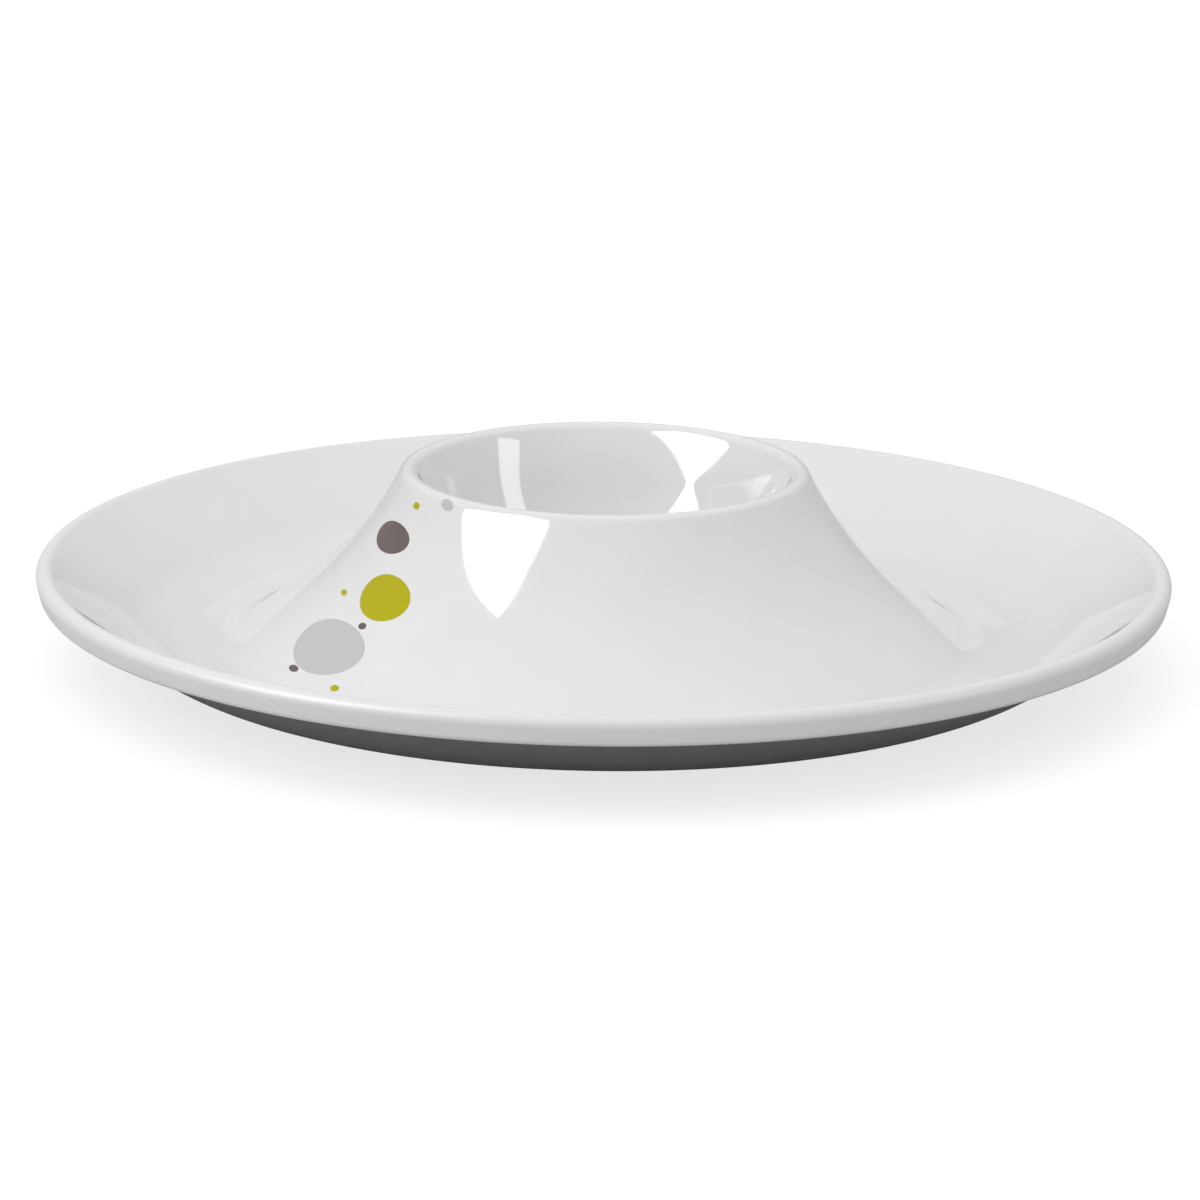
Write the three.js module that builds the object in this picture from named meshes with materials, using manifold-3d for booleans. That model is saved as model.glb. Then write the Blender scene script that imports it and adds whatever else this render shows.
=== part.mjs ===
// A round chip and dip server in two-tone melamine, in millimetres, +Z up.
// The origin is in the middle of the server, on the surface that its foot ring stands on.
//
// Every layer follows one profile, a chain of tangent arcs and straight runs drawn outwards from the
// axis: the floor of the dip well, its wall, the slim lip, the flank that flares out into the chip
// trough, and the tray wall up to the rim. The white upper shell lies on top, the dark under shell is
// bonded beneath it, and the printed dots lie on the flank.
import * as THREE from "three";
import Module from "manifold-3d";
import { mergeVertices } from "three/addons/utils/BufferGeometryUtils.js";

// Driving sizes of the server.
const OUTER_RADIUS = 165;
const RIM_HEIGHT = 29.2;
const BOWL_HEIGHT = 56.8;
const BOWL_CREST_RADIUS = 57;
const TROUGH_RADIUS = 113.5;
const TROUGH_HEIGHT = 5.2;
const TROUGH_FLOOR = 6;
const WELL_FLOOR_RADIUS = 20;
const WELL_FLOOR_HEIGHT = 4.8;

// Layers, as depths below the eating surface.
const UPPER_THICKNESS = 1.5;
const BOND_GAP = 0.3;
const UNDER_THICKNESS = 1;
const UNDER_TOP = UPPER_THICKNESS + BOND_GAP;
const UNDER_BOTTOM = UNDER_TOP + UNDER_THICKNESS;

// Curvature and slopes, in degrees from the horizontal, rising outwards as positive.
const WELL_LOW_SLOPE = 66;
const WELL_WAIST_SLOPE = 75.5;
const WELL_TOP_SLOPE = 64;
const WELL_WAIST_RADIUS = 95;
const WELL_THROAT_RADIUS = 72;
const LIP_RADIUS = 3;
const NECK_RADIUS = 110;
const NECK_TOP_SLOPE = -62.3;
const FLANK_TOP_SLOPE = -40;
const FLANK_FOOT_SLOPE = -34;
const TRAY_WALL_SLOPE = 38;

// The rim bead hangs over the edge of the under shell.
const RIM_TOP_RADIUS = 2.8;
const RIM_FACE_SLOPE = -104;
const RIM_FACE_LENGTH = 3.5;
const RIM_LOWER_RADIUS = 2.25;
const RIM_RETURN_SLOPE = -212;
const BEAD_INNER_RADIUS = 159.6;

// The foot ring under the trough.
const FOOT_OUTER_RADIUS = 115.8;
const FOOT_INNER_RADIUS = 110.4;
const FOOT_EDGE = 0.6;

// Printed dots: azimuth on the server in degrees, radius from the axis, length round the server,
// breadth down the flank, and the degrees by which the length leans downhill.
const PRINT_GAP = 0.3;
const PRINT_THICKNESS = 0.4;
const dot = (name, azimuth, radius, length, breadth, lean) => ({
  name,
  azimuth,
  radius,
  length,
  breadth,
  lean,
});
const DOTS = [
  dot("print_dot_grey_large", -146.5, 93.9, 32.8, 18.8, 5),
  dot("print_dot_green_large", -142.6, 78.4, 22.6, 14.4, 10),
  dot("print_dot_taupe_large", -154.4, 67.5, 20.2, 9.4, 2),
  dot("print_dot_grey_small", -138.3, 59.8, 5.4, 3.2, 16),
  dot("print_dot_taupe_outer", -149, 102.2, 5, 2.2, 4),
  dot("print_dot_taupe_inner", -142.5, 85.9, 3.4, 2.2, 8),
  dot("print_dot_green_upper", -151, 61.4, 3.6, 2, 4),
  dot("print_dot_green_middle", -156.5, 81, 4, 1.8, 6),
  dot("print_dot_green_lower", -136.8, 103, 3.4, 2.2, 6),
];

const SEGMENTS = 64;

const COLOURS = {
  white: { color: 0xe4e4e4, roughness: 0.12 },
  charcoal: { color: 0x4c4c4d, roughness: 0.35 },
  grey: { color: 0xc7c7c9, roughness: 0.15 },
  green: { color: 0xb9b21a, roughness: 0.15 },
  taupe: { color: 0x746a67, roughness: 0.15 },
};

const wasm = await Module();
wasm.setup();

const sin = (degrees) => Math.sin(THREE.MathUtils.degToRad(degrees));
const cos = (degrees) => Math.cos(THREE.MathUtils.degToRad(degrees));

function material(name) {
  return new THREE.MeshStandardMaterial({ ...COLOURS[name], metalness: 0 });
}

// A run ends at a length, or at a radius from the axis. A turn ends at a heading.
const run = (length) => ({ length });
const runTo = (radius) => ({ toRadius: radius });
const turn = (heading, radius, parts) => ({ heading, radius, parts });

// Walks a chain of steps from a start point, at a depth below it on the right-hand side. A deeper
// copy of an arc keeps its centre, so every depth is a true offset of the same profile.
function walk(start, steps, depth) {
  let heading = 0;
  let here = new THREE.Vector2(start.x, start.y - depth);
  const points = [here.clone()];
  const move = (right, up) => {
    here = new THREE.Vector2(here.x + right, here.y + up);
    points.push(here.clone());
  };
  for (const step of steps) {
    if (step.heading === undefined) {
      const length = step.length ?? (step.toRadius - here.x) / cos(heading);
      move(length * cos(heading), length * sin(heading));
      continue;
    }
    const side = Math.sign(step.heading - heading);
    const radius = step.radius + side * depth;
    const sweep = (step.heading - heading) / step.parts;
    for (let part = 0; part < step.parts; part += 1) {
      const next = heading + sweep;
      move(side * radius * (sin(next) - sin(heading)), side * radius * (cos(heading) - cos(next)));
      heading = next;
    }
  }
  return points;
}

// The arc from level up to a slope, and the straight run after it, that together cover a distance.
function arcThenRun(across, up, slope) {
  const radius = (across * sin(slope) - up * cos(slope)) / (1 - cos(slope));
  return { radius, length: (up - radius * (1 - cos(slope))) / sin(slope) };
}

// The two tangent arcs, from one slope through a second to level, that together cover a distance.
function twoArcs(across, up, slope, middle) {
  const a = sin(middle) - sin(slope);
  const b = -sin(middle);
  const c = cos(slope) - cos(middle);
  const d = cos(middle) - 1;
  const scale = a * d - b * c;
  return { first: (across * d - up * b) / scale, second: (up * a - across * c) / scale };
}

// Where the profile passes from one named stretch to the next. An arc that turns the other way,
// with its centre above, has a negative radius here.
const onArc = (centre, radius, slope) =>
  new THREE.Vector2(centre.x - radius * sin(slope), centre.y + radius * cos(slope));
const lipCentre = new THREE.Vector2(BOWL_CREST_RADIUS, BOWL_HEIGHT - LIP_RADIUS);
const throatCentre = onArc(lipCentre, LIP_RADIUS - WELL_THROAT_RADIUS, WELL_TOP_SLOPE);
const waist = onArc(throatCentre, WELL_THROAT_RADIUS, WELL_WAIST_SLOPE);
const waistCentre = onArc(waist, WELL_WAIST_RADIUS, WELL_WAIST_SLOPE);
const wellLow = onArc(waistCentre, -WELL_WAIST_RADIUS, WELL_LOW_SLOPE);
const neckTop = onArc(lipCentre, LIP_RADIUS, NECK_TOP_SLOPE);
const neckCentre = onArc(neckTop, NECK_RADIUS, NECK_TOP_SLOPE);
const flankTop = onArc(neckCentre, -NECK_RADIUS, FLANK_TOP_SLOPE);
const rimCentre = new THREE.Vector2(OUTER_RADIUS - RIM_TOP_RADIUS, RIM_HEIGHT - RIM_TOP_RADIUS);
const trayTop = onArc(rimCentre, RIM_TOP_RADIUS, TRAY_WALL_SLOPE);

const well = arcThenRun(
  wellLow.x - WELL_FLOOR_RADIUS,
  wellLow.y - WELL_FLOOR_HEIGHT,
  WELL_LOW_SLOPE,
);
const flank = twoArcs(
  TROUGH_RADIUS - flankTop.x,
  TROUGH_HEIGHT - flankTop.y,
  FLANK_TOP_SLOPE,
  FLANK_FOOT_SLOPE,
);
const tray = arcThenRun(
  trayTop.x - TROUGH_RADIUS - TROUGH_FLOOR,
  trayTop.y - TROUGH_HEIGHT,
  TRAY_WALL_SLOPE,
);

const profileStart = new THREE.Vector2(0, WELL_FLOOR_HEIGHT);
const wellSteps = [
  run(WELL_FLOOR_RADIUS),
  turn(WELL_LOW_SLOPE, well.radius, 5),
  run(well.length),
  turn(WELL_WAIST_SLOPE, WELL_WAIST_RADIUS, 2),
  turn(WELL_TOP_SLOPE, WELL_THROAT_RADIUS, 2),
];
const lipSteps = (parts) => [turn(NECK_TOP_SLOPE, LIP_RADIUS, parts)];
const flankSteps = [
  turn(FLANK_TOP_SLOPE, NECK_RADIUS, 4),
  turn(FLANK_FOOT_SLOPE, flank.first, 2),
  turn(0, flank.second, 4),
];
const traySteps = [run(TROUGH_FLOOR), turn(TRAY_WALL_SLOPE, tray.radius, 5)];
const rimSteps = [
  run(tray.length),
  turn(RIM_FACE_SLOPE, RIM_TOP_RADIUS, 6),
  run(RIM_FACE_LENGTH),
  turn(RIM_RETURN_SLOPE, RIM_LOWER_RADIUS, 4),
  runTo(BEAD_INNER_RADIUS),
];

// One face of a layer, from the axis out to a radius on the tray wall.
function layerFace(depth, lipParts, outerRadius) {
  const steps = [...wellSteps, ...lipSteps(lipParts), ...flankSteps, ...traySteps, runTo(outerRadius)];
  return walk(profileStart, steps, depth);
}

// A body of revolution from an outline that starts and ends on the axis, or closes on itself.
function revolved(outline) {
  return new THREE.LatheGeometry(outline, SEGMENTS);
}

// The white upper shell: dip well, lip, flank, chip trough, tray wall and rim bead in one moulding.
function upperShell() {
  const steps = [...wellSteps, ...lipSteps(6), ...flankSteps, ...traySteps, ...rimSteps];
  const top = walk(profileStart, steps, 0);
  const underside = layerFace(UPPER_THICKNESS, 2, BEAD_INNER_RADIUS).reverse();
  return revolved([...top, ...underside].reverse());
}

// The foot ring's outline below the under shell, walked inwards. Its outer side starts under the
// flat of the trough, and its inner side ends where the flank begins to rise.
function footOutline() {
  const level = TROUGH_HEIGHT - UNDER_BOTTOM;
  const arc = flank.second + UNDER_BOTTOM;
  const rise = arc - Math.sqrt(arc ** 2 - (TROUGH_RADIUS - FOOT_INNER_RADIUS) ** 2);
  return [
    new THREE.Vector2(FOOT_OUTER_RADIUS, level),
    new THREE.Vector2(FOOT_OUTER_RADIUS, FOOT_EDGE),
    new THREE.Vector2(FOOT_OUTER_RADIUS - FOOT_EDGE, 0),
    new THREE.Vector2(FOOT_INNER_RADIUS + FOOT_EDGE, 0),
    new THREE.Vector2(FOOT_INNER_RADIUS, FOOT_EDGE),
    new THREE.Vector2(FOOT_INNER_RADIUS, level + rise),
  ];
}

// The dark under shell, from its edge behind the rim bead to the underside of the dip well.
function underShell() {
  const edge = BEAD_INNER_RADIUS - BOND_GAP;
  const top = layerFace(UNDER_TOP, 2, edge);
  const bottom = layerFace(UNDER_BOTTOM, 1, edge).reverse();
  const outside = bottom.filter((point) => point.x > FOOT_OUTER_RADIUS);
  const inside = bottom.filter((point) => point.x < FOOT_INNER_RADIUS);
  return revolved([...top, ...outside, ...footOutline(), ...inside].reverse());
}

function toManifold(geometry) {
  const bare = geometry.clone();
  bare.deleteAttribute("normal");
  bare.deleteAttribute("uv");
  const merged = mergeVertices(bare, 1e-4);
  const mesh = new wasm.Mesh({
    numProp: 3,
    vertProperties: new Float32Array(merged.attributes.position.array),
    triVerts: new Uint32Array(merged.index.array),
  });
  return new wasm.Manifold(mesh);
}

function fromManifold(solid) {
  const mesh = solid.getMesh();
  const geometry = new THREE.BufferGeometry();
  geometry.setAttribute("position", new THREE.BufferAttribute(new Float32Array(mesh.vertProperties), 3));
  geometry.setIndex(new THREE.BufferAttribute(new Uint32Array(mesh.triVerts), 1));
  geometry.computeVertexNormals();
  return geometry;
}

// The thin layer just above the neck, flank and trough that the dots are cut from.
function printLayer() {
  const steps = [...lipSteps(6), ...flankSteps];
  const crest = new THREE.Vector2(BOWL_CREST_RADIUS, BOWL_HEIGHT);
  const lower = walk(crest, steps, -PRINT_GAP);
  const upper = walk(crest, steps, -PRINT_GAP - PRINT_THICKNESS);
  return toManifold(revolved([...upper, ...lower.reverse(), upper[0].clone()].reverse()));
}

// The point and slope of the eating surface at a radius between the lip and the trough.
function onFlank(radius) {
  const crest = new THREE.Vector2(BOWL_CREST_RADIUS, BOWL_HEIGHT);
  const points = walk(crest, [...lipSteps(6), ...flankSteps], 0);
  const index = points.findIndex((point) => point.x > radius);
  const from = points[index - 1];
  const to = points[index];
  const share = (radius - from.x) / (to.x - from.x);
  const slope = Math.atan2(to.y - from.y, to.x - from.x);
  return { height: THREE.MathUtils.lerp(from.y, to.y, share), slope };
}

// One dot: an oval punch along the surface's normal, through the print layer. The punch starts with
// its breadth along X and its length along Y.
function printDot({ azimuth, radius, length, breadth, lean }, layer) {
  const { height, slope } = onFlank(radius);
  const sides = length > 10 ? 28 : 12;
  const punch = new THREE.CylinderGeometry(0.5, 0.5, 8, sides);
  punch.rotateX(Math.PI / 2);
  punch.scale(breadth, length, 1);
  punch.rotateZ(-THREE.MathUtils.degToRad(lean));
  punch.rotateY(-slope);
  punch.translate(radius, 0, height);
  punch.rotateZ(THREE.MathUtils.degToRad(azimuth));
  return fromManifold(layer.intersect(toManifold(punch)));
}

const server = new THREE.Group();

function addPiece(name, geometry, colour) {
  const mesh = new THREE.Mesh(geometry, material(colour));
  mesh.name = name;
  server.add(mesh);
  return mesh;
}

// A lathe turns about +Y, so the shells are stood up about +X.
addPiece("upper_shell", upperShell(), "white").rotation.x = Math.PI / 2;
addPiece("under_shell", underShell(), "charcoal").rotation.x = Math.PI / 2;

const layer = printLayer().rotate([90, 0, 0]);
for (const print of DOTS) {
  const ink = print.name.split("_")[2];
  addPiece(print.name, printDot(print, layer), ink);
}

export default server;
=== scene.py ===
"""The looks of the chip and dip server: fine melamine shells, printed dots, a pale floor and soft light.

The shells and the dots are drawn from one profile, with the same driving sizes as the CAD model. Each fine
piece replaces the CAD node whose name it carries, followed by _fine.
"""

import math

import bpy
import numpy as np
from mathutils import Matrix, Vector

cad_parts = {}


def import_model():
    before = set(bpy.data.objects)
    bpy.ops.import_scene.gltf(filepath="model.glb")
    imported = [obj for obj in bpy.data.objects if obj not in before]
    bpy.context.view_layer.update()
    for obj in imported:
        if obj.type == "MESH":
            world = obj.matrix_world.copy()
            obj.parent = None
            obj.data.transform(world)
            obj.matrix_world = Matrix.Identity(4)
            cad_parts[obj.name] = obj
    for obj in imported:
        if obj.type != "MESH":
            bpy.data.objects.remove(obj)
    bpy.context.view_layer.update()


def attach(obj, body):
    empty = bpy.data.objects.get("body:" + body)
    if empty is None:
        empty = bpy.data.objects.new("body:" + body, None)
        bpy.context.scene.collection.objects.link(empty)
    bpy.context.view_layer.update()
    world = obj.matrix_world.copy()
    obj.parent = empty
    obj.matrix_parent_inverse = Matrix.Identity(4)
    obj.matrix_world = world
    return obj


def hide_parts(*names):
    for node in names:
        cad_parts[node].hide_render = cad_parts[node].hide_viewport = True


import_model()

MM = 0.001

# The server's profile, in millimetres, and its slopes, in degrees, rising outwards as positive. Each
# depth is measured below the eating surface.
OUTER_RADIUS = 165.0
RIM_HEIGHT = 29.2
BOWL_HEIGHT = 56.8
BOWL_CREST_RADIUS = 57.0
TROUGH_RADIUS = 113.5
TROUGH_HEIGHT = 5.2
TROUGH_FLOOR = 6.0
WELL_FLOOR_RADIUS = 20.0
WELL_FLOOR_HEIGHT = 4.8
UPPER_THICKNESS = 1.5
UNDER_TOP = 1.55
UNDER_BOTTOM = 2.8
WELL_LOW_SLOPE = 66.0
WELL_WAIST_SLOPE = 75.5
WELL_TOP_SLOPE = 64.0
WELL_WAIST_RADIUS = 95.0
WELL_THROAT_RADIUS = 72.0
LIP_RADIUS = 3.0
NECK_RADIUS = 110.0
NECK_TOP_SLOPE = -62.3
FLANK_TOP_SLOPE = -40.0
FLANK_FOOT_SLOPE = -34.0
TRAY_WALL_SLOPE = 38.0
RIM_TOP_RADIUS = 2.8
RIM_FACE_SLOPE = -104.0
RIM_FACE_LENGTH = 3.5
RIM_LOWER_RADIUS = 2.25
RIM_RETURN_SLOPE = -212.0
BEAD_INNER_RADIUS = 159.6
EDGE_GAP = 0.1
FOOT_OUTER_RADIUS = 115.8
FOOT_INNER_RADIUS = 110.4
FOOT_EDGE = 0.9

# How finely the shells are drawn: sides round the axis, and the longest step and turn along the profile.
SEGMENTS = 280
STEP_LENGTH = 1.6
STEP_ANGLE = 5.0
FOOT_STEP_ANGLE = 15
SHELL_SHARP_ANGLE = 40.0

# Printed dots: CAD node, ink, azimuth, radius from the axis, length, breadth and lean. Each is an
# oval laid on the flank, whose length runs round the server and leans downhill by some degrees.
DOTS = [
    ("print_dot_grey_large", "grey", -146.5, 93.9, 32.8, 18.8, 5),
    ("print_dot_green_large", "green", -142.6, 78.4, 22.6, 14.4, 10),
    ("print_dot_taupe_large", "taupe", -154.4, 67.5, 20.2, 9.4, 2),
    ("print_dot_grey_small", "grey", -138.3, 59.8, 5.4, 3.2, 16),
    ("print_dot_taupe_outer", "taupe", -149.0, 102.2, 5.0, 2.2, 4),
    ("print_dot_taupe_inner", "taupe", -142.5, 85.9, 3.4, 2.2, 8),
    ("print_dot_green_upper", "green", -151.0, 61.4, 3.6, 2.0, 4),
    ("print_dot_green_middle", "green", -156.5, 81.0, 4.0, 1.8, 6),
    ("print_dot_green_lower", "green", -136.8, 103.0, 3.4, 2.2, 6),
]
PRINT_LIFT = 0.05
PRINT_BEVEL = 0.03
LONG_PRINT = 10.0
LONG_PRINT_SIDES = 96
SHORT_PRINT_SIDES = 40
PRINT_SHARP_ANGLE = 50.0

# Melamine. Clouds vary its colour, patches its gloss, and waves and grain its surface. Their scales are in
# lumps per metre and their depths in metres. Noise is used between its usual lowest and highest values.
GLOSS_INDEX = 1.6
PRINT_INDEX = 1.22
CLOUD_SCALE = 55.0
PATCH_SCALE = 140.0
WAVE_SCALE = 38.0
WAVE_DEPTH = 0.00025
DARK_WAVE_DEPTH = 0.0002
GRAIN_SCALE = 1500.0
GRAIN_DEPTH = 0.000002
NOISE_LOW = 0.3
NOISE_HIGH = 0.7
WHITE_GLOSS = (0.05, 0.09)
DARK_GLOSS = (0.3, 0.42)
PRINT_GLOSS = (0.1, 0.16)
BUFF_START = BEAD_INNER_RADIUS - 0.5
BUFF_END = BEAD_INNER_RADIUS + 1.5
BUFFED_ROUGHNESS = 0.38
COAT = 0.6
COAT_ROUGHNESS = 0.03

# The darkest and palest tones of the melamine and of the inks.
WHITE_TONES = ((0.775, 0.775, 0.777), (0.795, 0.795, 0.796))
# Painted shade: the under shell's dark grey tones stand in for the shade that falls on the server's
# underside below the rim bead.
PAINTED_SHADE_TONES = ((0.2, 0.2, 0.202), (0.22, 0.22, 0.222))
INK_TONES = {
    "grey": ((0.535, 0.535, 0.545), (0.555, 0.555, 0.565)),
    "green": ((0.455, 0.415, 0.003), (0.475, 0.435, 0.005)),
    "taupe": ((0.145, 0.115, 0.108), (0.16, 0.127, 0.119)),
}

# The floor and lights: sizes and distances in metres, brightness as radiance.
WHITE = (1.0, 1.0, 1.0, 1.0)
FLOOR_SIZE = 12.0
FLOOR_ROUGHNESS = 0.7
FLOOR_CLOUDS = 0.02
FLOOR_CLOUD_SCALE = 3.0
HORIZON_LIGHT = 0.5
ZENITH_LIGHT = 1.0
LIGHT_DISTANCE = 2.0

# The camera, a little above the rim and slightly rolled, with a long lens. Distances are in metres and
# angles in degrees, and the lens and sensor are in millimetres.
CAMERA_DISTANCE = 1.6
CAMERA_ELEVATION = 15.13
CAMERA_ROLL = 0.656
CAMERA_TARGET = (-0.001, 0.0, 0.01674)
LENS = 164.2
SENSOR_WIDTH = 36.0
VIEW_DEPTH = 50.0


def sin(degrees):
    """The sine of an angle in degrees."""
    return math.sin(math.radians(degrees))


def cos(degrees):
    """The cosine of an angle in degrees."""
    return math.cos(math.radians(degrees))


# --- the profile: a chain of tangent arcs and straight runs, drawn outwards from the axis ---


def run(length):
    """A straight run of a length."""
    return {"length": length}


def run_to(radius):
    """A straight run out to a radius from the axis."""
    return {"to_radius": radius}


def turn(heading, radius):
    """An arc of a radius that ends at a heading."""
    return {"heading": heading, "radius": radius}


def walk(start, steps, depth=0.0):
    """The chain's points, each with its heading. A deeper copy of an arc keeps the arc's centre."""
    heading = 0.0
    x, z = start[0], start[1] - depth
    points = [(x, z, heading)]
    for step in steps:
        if "heading" in step:
            side = 1.0 if step["heading"] > heading else -1.0
            radius = step["radius"] + side * depth
            sweep = step["heading"] - heading
            by_length = radius * math.radians(abs(sweep)) / STEP_LENGTH
            parts = max(2, math.ceil(max(by_length, abs(sweep) / STEP_ANGLE)))
            for _ in range(parts):
                after = heading + sweep / parts
                x += side * radius * (sin(after) - sin(heading))
                z += side * radius * (cos(heading) - cos(after))
                heading = after
                points.append((x, z, heading))
            continue
        length = step["length"] if "length" in step else (step["to_radius"] - x) / cos(heading)
        parts = max(1, math.ceil(length / (2 * STEP_LENGTH)))
        for _ in range(parts):
            x += length / parts * cos(heading)
            z += length / parts * sin(heading)
            points.append((x, z, heading))
    return points


def arc_then_run(across, up, slope):
    """The arc from level up to a slope, and the run after it, that together cover a distance."""
    radius = (across * sin(slope) - up * cos(slope)) / (1 - cos(slope))
    return radius, (up - radius * (1 - cos(slope))) / sin(slope)


def two_arcs(across, up, slope, middle):
    """The two tangent arcs, from one slope through a second to level, that cover a distance."""
    sums = np.array(
        [[sin(middle) - sin(slope), -sin(middle)], [cos(slope) - cos(middle), cos(middle) - 1]]
    )
    return np.linalg.solve(sums, [across, up])


def on_arc(centre, radius, slope):
    """The point where an arc has a slope. An arc with its centre above it has a negative radius here."""
    return centre[0] - radius * sin(slope), centre[1] + radius * cos(slope)


lip_centre = (BOWL_CREST_RADIUS, BOWL_HEIGHT - LIP_RADIUS)
throat_centre = on_arc(lip_centre, LIP_RADIUS - WELL_THROAT_RADIUS, WELL_TOP_SLOPE)
waist = on_arc(throat_centre, WELL_THROAT_RADIUS, WELL_WAIST_SLOPE)
waist_centre = on_arc(waist, WELL_WAIST_RADIUS, WELL_WAIST_SLOPE)
well_low = on_arc(waist_centre, -WELL_WAIST_RADIUS, WELL_LOW_SLOPE)
neck_top = on_arc(lip_centre, LIP_RADIUS, NECK_TOP_SLOPE)
neck_centre = on_arc(neck_top, NECK_RADIUS, NECK_TOP_SLOPE)
flank_top = on_arc(neck_centre, -NECK_RADIUS, FLANK_TOP_SLOPE)
rim_centre = (OUTER_RADIUS - RIM_TOP_RADIUS, RIM_HEIGHT - RIM_TOP_RADIUS)
tray_top = on_arc(rim_centre, RIM_TOP_RADIUS, TRAY_WALL_SLOPE)

corner_radius, well_wall_length = arc_then_run(
    well_low[0] - WELL_FLOOR_RADIUS, well_low[1] - WELL_FLOOR_HEIGHT, WELL_LOW_SLOPE
)
flank_radius, flare_radius = two_arcs(
    TROUGH_RADIUS - flank_top[0], TROUGH_HEIGHT - flank_top[1], FLANK_TOP_SLOPE, FLANK_FOOT_SLOPE
)
tray_radius, tray_wall_length = arc_then_run(
    tray_top[0] - TROUGH_RADIUS - TROUGH_FLOOR, tray_top[1] - TROUGH_HEIGHT, TRAY_WALL_SLOPE
)

PROFILE_START = (0.0, WELL_FLOOR_HEIGHT)
well_steps = [
    run(WELL_FLOOR_RADIUS),
    turn(WELL_LOW_SLOPE, corner_radius),
    run(well_wall_length),
    turn(WELL_WAIST_SLOPE, WELL_WAIST_RADIUS),
    turn(WELL_TOP_SLOPE, WELL_THROAT_RADIUS),
]
lip_steps = [turn(NECK_TOP_SLOPE, LIP_RADIUS)]
flank_steps = [
    turn(FLANK_TOP_SLOPE, NECK_RADIUS),
    turn(FLANK_FOOT_SLOPE, flank_radius),
    turn(0.0, flare_radius),
]
tray_steps = [run(TROUGH_FLOOR), turn(TRAY_WALL_SLOPE, tray_radius)]
rim_steps = [
    run(tray_wall_length),
    turn(RIM_FACE_SLOPE, RIM_TOP_RADIUS),
    run(RIM_FACE_LENGTH),
    turn(RIM_RETURN_SLOPE, RIM_LOWER_RADIUS),
    run_to(BEAD_INNER_RADIUS),
]
through_steps = well_steps + lip_steps + flank_steps + tray_steps


def outline(steps, depth=0.0):
    """The section of the chain from the axis, at a depth below the eating surface."""
    return [(x, z) for x, z, _ in walk(PROFILE_START, steps, depth)]


# --- meshes ---


def link(name, data):
    """A new object of this data in the scene."""
    made = bpy.data.objects.new(name, data)
    bpy.context.scene.collection.objects.link(made)
    return made


def closed_rings(name, rings, start, end, sharp_angle):
    """A closed mesh of rings of equally many points, between a first and a last single point."""
    sides = len(rings[0])
    points = [start] + [point for ring in rings for point in ring] + [end]
    last = len(points) - 1
    faces = []
    for k in range(sides):
        after = (k + 1) % sides
        faces.append((0, 1 + k, 1 + after))
        for ring in range(len(rings) - 1):
            a, b = 1 + ring * sides, 1 + (ring + 1) * sides
            faces.append((a + k, b + k, b + after, a + after))
        outermost = 1 + (len(rings) - 1) * sides
        faces.append((outermost + k, last, outermost + after))
    mesh = bpy.data.meshes.new(name)
    mesh.from_pydata(points, [], faces)
    mesh.update()
    mesh.shade_smooth()
    mesh.set_sharp_from_angle(angle=math.radians(sharp_angle))
    return link(name, mesh)


def revolved(name, section):
    """A closed body of revolution from a section that starts and ends on the axis."""
    turns = np.linspace(0, 2 * math.pi, SEGMENTS, endpoint=False)
    rings = [
        [(x * MM * math.cos(a), x * MM * math.sin(a), z * MM) for a in turns] for x, z in section[1:-1]
    ]
    start = (0.0, 0.0, section[0][1] * MM)
    end = (0.0, 0.0, section[-1][1] * MM)
    return closed_rings(name, rings, start, end, SHELL_SHARP_ANGLE)


def upper_shell():
    """The white layer: dip well, lip, flank, chip trough, tray wall and rim bead."""
    top = outline(through_steps + rim_steps)
    under = outline(through_steps + [run_to(BEAD_INNER_RADIUS)], UPPER_THICKNESS)
    return revolved("upper_shell_fine", top + under[::-1])


def foot_ring():
    """The foot ring's rounded section, walked inwards under the shell."""
    level = TROUGH_HEIGHT - UNDER_BOTTOM
    arc = flare_radius + UNDER_BOTTOM
    rise = arc - math.sqrt(arc**2 - (TROUGH_RADIUS - FOOT_INNER_RADIUS) ** 2)
    outer, inner = FOOT_OUTER_RADIUS - FOOT_EDGE, FOOT_INNER_RADIUS + FOOT_EDGE
    turns = range(0, 90 + FOOT_STEP_ANGLE, FOOT_STEP_ANGLE)
    points = [(FOOT_OUTER_RADIUS, level)]
    points += [(outer + FOOT_EDGE * sin(a), FOOT_EDGE * (1 - cos(a))) for a in reversed(turns)]
    points += [(inner - FOOT_EDGE * sin(a), FOOT_EDGE * (1 - cos(a))) for a in turns]
    points.append((FOOT_INNER_RADIUS, level + rise))
    return points


def under_shell():
    """The layer bonded beneath, from its edge behind the rim bead to under the dip well, whose dark grey
    is painted shade of the underside.
    """
    steps = through_steps + [run_to(BEAD_INNER_RADIUS - EDGE_GAP)]
    top = outline(steps, UNDER_TOP)
    bottom = outline(steps, UNDER_BOTTOM)[::-1]
    outside = [p for p in bottom if p[0] > FOOT_OUTER_RADIUS]
    inside = [p for p in bottom if p[0] < FOOT_INNER_RADIUS]
    return revolved("under_shell_fine", top + outside + foot_ring() + inside)


flank_line = walk((BOWL_CREST_RADIUS, BOWL_HEIGHT), lip_steps + flank_steps)
flank_x, flank_z, flank_heading = (np.array(column) for column in zip(*flank_line))
flank_s = np.concatenate([[0], np.cumsum(np.hypot(np.diff(flank_x), np.diff(flank_z)))])


def on_flank(s, azimuth, lift):
    """The point a distance s down the flank from the crest, raised off the surface by a lift."""
    heading = np.interp(s, flank_s, flank_heading)
    x = np.interp(s, flank_s, flank_x) - lift * sin(heading)
    z = np.interp(s, flank_s, flank_z) + lift * cos(heading)
    return (x * MM * math.cos(azimuth), x * MM * math.sin(azimuth), z * MM)


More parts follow.
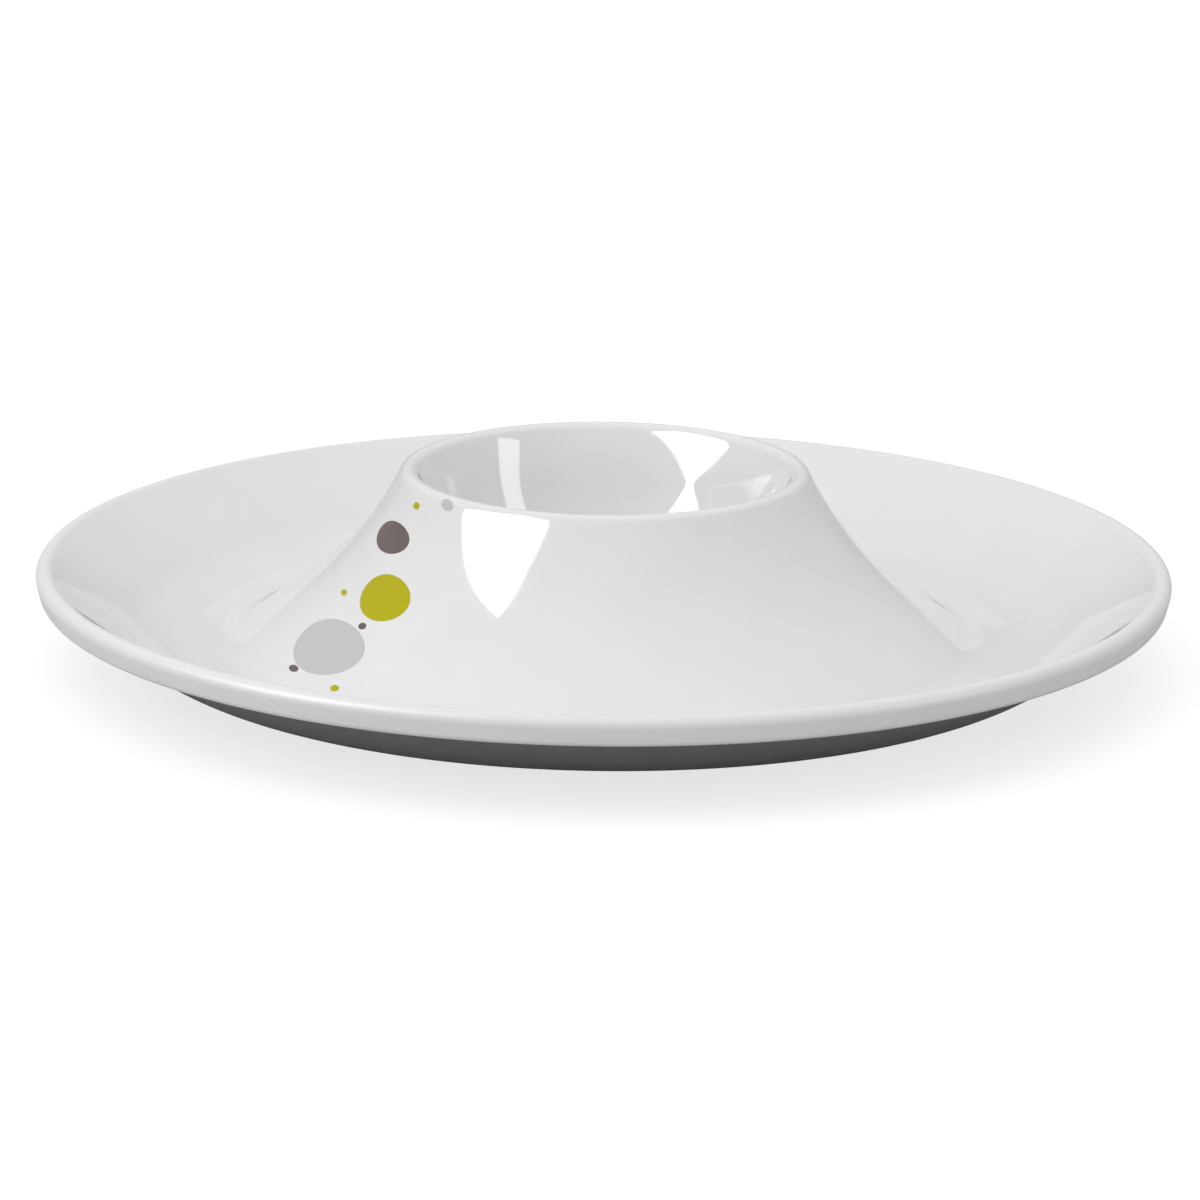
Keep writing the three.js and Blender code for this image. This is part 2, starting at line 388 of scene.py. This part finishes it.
def print_dot(node, azimuth, radius, length, breadth, lean):
    """A thin oval print that follows the flank, with its edge turned down into the gloss."""
    centre_s = np.interp(radius, flank_x, flank_s)
    sides = LONG_PRINT_SIDES if length > LONG_PRINT else SHORT_PRINT_SIDES
    count = max(4, round(breadth))
    grow = 1 + PRINT_BEVEL / breadth
    levels = [(k / count, PRINT_LIFT) for k in range(1, count + 1)]
    levels += [(grow, 0.0), (grow, -PRINT_LIFT)]
    levels += [(k / count, -PRINT_LIFT) for k in range(count - 1, 0, -1)]

    def place(share, turn_angle, lift):
        along = share * length / 2 * math.cos(turn_angle)
        across = share * breadth / 2 * math.sin(turn_angle)
        s = centre_s + along * sin(lean) + across * cos(lean)
        around = (along * cos(lean) - across * sin(lean)) / np.interp(s, flank_s, flank_x)
        return on_flank(s, math.radians(azimuth) + around, lift)

    rings = [
        [place(share, -2 * math.pi * k / sides, lift) for k in range(sides)] for share, lift in levels
    ]
    start, end = place(0, 0, PRINT_LIFT), place(0, 0, -PRINT_LIFT)
    return closed_rings(node + "_fine", rings, start, end, PRINT_SHARP_ANGLE)


# --- materials ---


def new_material(name):
    """An empty node material, and its shader."""
    made = bpy.data.materials.new(name)
    made.use_nodes = True
    nodes = made.node_tree.nodes
    nodes.clear()
    shader = nodes.new("ShaderNodeBsdfPrincipled")
    output = nodes.new("ShaderNodeOutputMaterial")
    made.node_tree.links.new(shader.outputs["BSDF"], output.inputs["Surface"])
    return made, shader


def noise(made, scale, detail=3.0, roughness=0.5):
    """Noise over the object's own coordinates."""
    nodes, links = made.node_tree.nodes, made.node_tree.links
    place = nodes.new("ShaderNodeTexCoord")
    texture = nodes.new("ShaderNodeTexNoise")
    texture.inputs["Scale"].default_value = scale
    texture.inputs["Detail"].default_value = detail
    texture.inputs["Roughness"].default_value = roughness
    links.new(place.outputs["Object"], texture.inputs["Vector"])
    return texture.outputs["Fac"]


def ramp(made, source, low, high):
    """A noise value spread between two colours."""
    node = made.node_tree.nodes.new("ShaderNodeValToRGB")
    stops = zip(node.color_ramp.elements, (NOISE_LOW, NOISE_HIGH), (low, high))
    for stop, position, colour in stops:
        stop.position = position
        stop.color = (*colour, 1)
    made.node_tree.links.new(source, node.inputs["Fac"])
    return node.outputs["Color"]


def spread(made, source, low, high):
    """A noise value spread between two numbers."""
    node = made.node_tree.nodes.new("ShaderNodeMapRange")
    node.inputs["From Min"].default_value = NOISE_LOW
    node.inputs["From Max"].default_value = NOISE_HIGH
    node.inputs["To Min"].default_value = low
    node.inputs["To Max"].default_value = high
    made.node_tree.links.new(source, node.inputs["Value"])
    return node.outputs["Result"]


def bump(made, shader, layers):
    """Bumps from (height source, depth in metres) pairs, one over the other."""
    normal = None
    for source, depth in layers:
        node = made.node_tree.nodes.new("ShaderNodeBump")
        node.inputs["Strength"].default_value = 1.0
        node.inputs["Distance"].default_value = depth
        made.node_tree.links.new(source, node.inputs["Height"])
        if normal is not None:
            made.node_tree.links.new(normal, node.inputs["Normal"])
        normal = node.outputs["Normal"]
    made.node_tree.links.new(normal, shader.inputs["Normal"])


def mix(made, source, low, high):
    """A factor from 0 to 1 spread between two numbers, either of which may be another node's output."""
    node = made.node_tree.nodes.new("ShaderNodeMix")
    node.data_type = "FLOAT"
    made.node_tree.links.new(source, node.inputs["Factor"])
    first, second = node.inputs[2], node.inputs[3]
    for socket, value in ((first, low), (second, high)):
        if isinstance(value, float):
            socket.default_value = value
        else:
            made.node_tree.links.new(value, socket)
    return node.outputs[0]


def buffed_rim(made):
    """1 on the outer rim, whose moulding seam is buffed off, and 0 on the faces inside it."""
    nodes, links = made.node_tree.nodes, made.node_tree.links
    place = nodes.new("ShaderNodeTexCoord")
    flat = nodes.new("ShaderNodeVectorMath")
    flat.operation = "MULTIPLY"
    flat.inputs[1].default_value = (1.0, 1.0, 0.0)
    radius = nodes.new("ShaderNodeVectorMath")
    radius.operation = "LENGTH"
    edge = nodes.new("ShaderNodeMapRange")
    edge.inputs["From Min"].default_value = BUFF_START * MM
    edge.inputs["From Max"].default_value = BUFF_END * MM
    links.new(place.outputs["Object"], flat.inputs[0])
    links.new(flat.outputs["Vector"], radius.inputs[0])
    links.new(radius.outputs["Value"], edge.inputs["Value"])
    return edge.outputs["Result"]


def melamine(name, tones, gloss, wave_depth=WAVE_DEPTH, index=GLOSS_INDEX):
    """Moulded melamine: faint clouds in the colour, uneven gloss and the mould's slow waves."""
    made, shader = new_material(name)
    links = made.node_tree.links
    clouds = ramp(made, noise(made, CLOUD_SCALE, detail=4.0), *tones)
    links.new(clouds, shader.inputs["Base Color"])
    patches = spread(made, noise(made, PATCH_SCALE, detail=5.0, roughness=0.6), *gloss)
    links.new(patches, shader.inputs["Roughness"])
    waves = (noise(made, WAVE_SCALE, detail=1.0), wave_depth)
    grain = (noise(made, GRAIN_SCALE, detail=2.0), GRAIN_DEPTH)
    bump(made, shader, [waves, grain])
    shader.inputs["IOR"].default_value = index
    return made


def white_melamine():
    """Glossy white with a clear skin, and a duller buffed rim."""
    made = melamine("white_melamine", WHITE_TONES, WHITE_GLOSS)
    links = made.node_tree.links
    shader = made.node_tree.nodes["Principled BSDF"]
    rim = buffed_rim(made)
    gloss = shader.inputs["Roughness"].links[0].from_socket
    links.new(mix(made, rim, gloss, BUFFED_ROUGHNESS), shader.inputs["Roughness"])
    links.new(mix(made, rim, COAT, 0.0), shader.inputs["Coat Weight"])
    shader.inputs["Coat Roughness"].default_value = COAT_ROUGHNESS
    return made


def painted_shade_melamine():
    """Satin dark grey: painted shade that stands in for the shade on the underside below the rim bead."""
    return melamine("painted_shade_melamine", PAINTED_SHADE_TONES, DARK_GLOSS, DARK_WAVE_DEPTH)


def printed(ink):
    """A flat ink with a little gloss."""
    return melamine(ink + "_print", INK_TONES[ink], PRINT_GLOSS, index=PRINT_INDEX)


# --- the pieces ---


def dress(piece, node, material):
    """Gives a piece its material, and stands it in for its CAD node."""
    piece.data.materials.append(material)
    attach(piece, "root")
    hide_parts(node)


def pieces():
    """The two shells and the printed dots."""
    white, dark = white_melamine(), painted_shade_melamine()
    inks = {name: printed(name) for name in INK_TONES}
    dress(upper_shell(), "upper_shell", white)
    # The under shell's dark material is painted shade of the underside.
    dress(under_shell(), "under_shell", dark)
    for node, ink, *layout in DOTS:
        dress(print_dot(node, *layout), node, inks[ink])


# --- floor, light and camera ---


def floor(name, height, tone, glow):
    """A wide level sheet. Its tone is a grey level, and its glow is light of its own."""
    half = FLOOR_SIZE / 2
    corners = [(x * half, y * half, height) for x, y in ((-1, -1), (1, -1), (1, 1), (-1, 1))]
    mesh = bpy.data.meshes.new(name)
    mesh.from_pydata(corners, [], [(0, 1, 2, 3)])
    piece = link(name, mesh)
    made, shader = new_material(name)
    paler = tone + FLOOR_CLOUDS
    tint = ramp(made, noise(made, FLOOR_CLOUD_SCALE), (tone, tone, tone), (paler, paler, paler))
    made.node_tree.links.new(tint, shader.inputs["Base Color"])
    shader.inputs["Roughness"].default_value = FLOOR_ROUGHNESS
    shader.inputs["Emission Color"].default_value = WHITE
    shader.inputs["Emission Strength"].default_value = glow
    mesh.materials.append(made)
    return piece


def floors():
    """The pale floor that the camera sees, and one just below it, out of sight, that bounces light."""
    seen = floor("pale_floor", height=0.0, tone=0.3, glow=0.75)
    seen.visible_diffuse = False
    seen.visible_glossy = False
    seen.visible_shadow = False
    bounce = floor("bounce_floor", height=-0.001, tone=0.55, glow=0.0)
    bounce.visible_camera = False
    bounce.visible_shadow = False


def softbox(name, way, half_angles, radiance, shape="RECTANGLE", spin=0.0, diffuse=1.0, glossy=1.0):
    """A soft light that faces the server from an azimuth and elevation.

    Its half angles are half its width and height as the server sees them, and its spin turns it about
    its own axis. All are in degrees. The last two say how far it lights matt and mirror reflections.
    """
    azimuth, elevation = way
    width, height = (2 * LIGHT_DISTANCE * math.tan(math.radians(half)) for half in half_angles)
    share = math.pi / 4 if shape == "ELLIPSE" else 1
    light = bpy.data.lights.new(name, "AREA")
    light.shape = shape
    light.size = width
    light.size_y = height
    light.energy = radiance * math.pi * width * height * share
    light.diffuse_factor = diffuse
    light.specular_factor = glossy
    towards = Vector((cos(elevation) * cos(azimuth), cos(elevation) * sin(azimuth), sin(elevation)))
    aim = towards.to_track_quat("Z", "Y").to_matrix().to_4x4()
    turned = Matrix.Rotation(math.radians(spin), 4, "Z")
    box = link(name, light)
    box.matrix_world = Matrix.Translation(towards * LIGHT_DISTANCE) @ aim @ turned
    box.visible_camera = False
    box.visible_diffuse = diffuse > 0
    box.visible_glossy = glossy > 0


def lights():
    """Two softboxes that the gloss mirrors, and a broad soft key that only lights the matt tone."""
    softbox("softbox_left", (-153.8, 35.5), (19.6, 16.2), 5.0, spin=58, diffuse=0)
    softbox("strip_right", (-21.0, 19.7), (7.0, 11.7), 3.0, diffuse=0)
    softbox("key_left", (-150.0, 45.0), (30.0, 30.0), 0.9, "ELLIPSE", glossy=0)


def world():
    """An even white surround that is a little brighter overhead than at the horizon."""
    made = bpy.data.worlds.new("soft_surround")
    made.use_nodes = True
    nodes, links = made.node_tree.nodes, made.node_tree.links
    back = nodes["Background"]
    back.inputs["Color"].default_value = WHITE
    place = nodes.new("ShaderNodeTexCoord")
    split = nodes.new("ShaderNodeSeparateXYZ")
    height = nodes.new("ShaderNodeMapRange")
    height.inputs["From Min"].default_value = 0.0
    height.inputs["From Max"].default_value = 1.0
    height.inputs["To Min"].default_value = HORIZON_LIGHT
    height.inputs["To Max"].default_value = ZENITH_LIGHT
    links.new(place.outputs["Generated"], split.inputs["Vector"])
    links.new(split.outputs["Z"], height.inputs["Value"])
    links.new(height.outputs["Result"], back.inputs["Strength"])
    bpy.context.scene.world = made


def camera():
    """The camera in front of the server, looking slightly down on it."""
    data = bpy.data.cameras.new("camera")
    data.lens = LENS
    data.sensor_width = SENSOR_WIDTH
    data.clip_end = VIEW_DEPTH
    shot = link("camera", data)
    back = Vector((0.0, -cos(CAMERA_ELEVATION), sin(CAMERA_ELEVATION)))
    aim = back.to_track_quat("Z", "Y").to_matrix().to_4x4()
    roll = Matrix.Rotation(math.radians(CAMERA_ROLL), 4, "Z")
    place = Matrix.Translation(Vector(CAMERA_TARGET) + back * CAMERA_DISTANCE)
    shot.matrix_world = place @ aim @ roll
    bpy.context.scene.camera = shot


pieces()
floors()
lights()
world()
camera()
bpy.context.scene.view_settings.view_transform = "Standard"
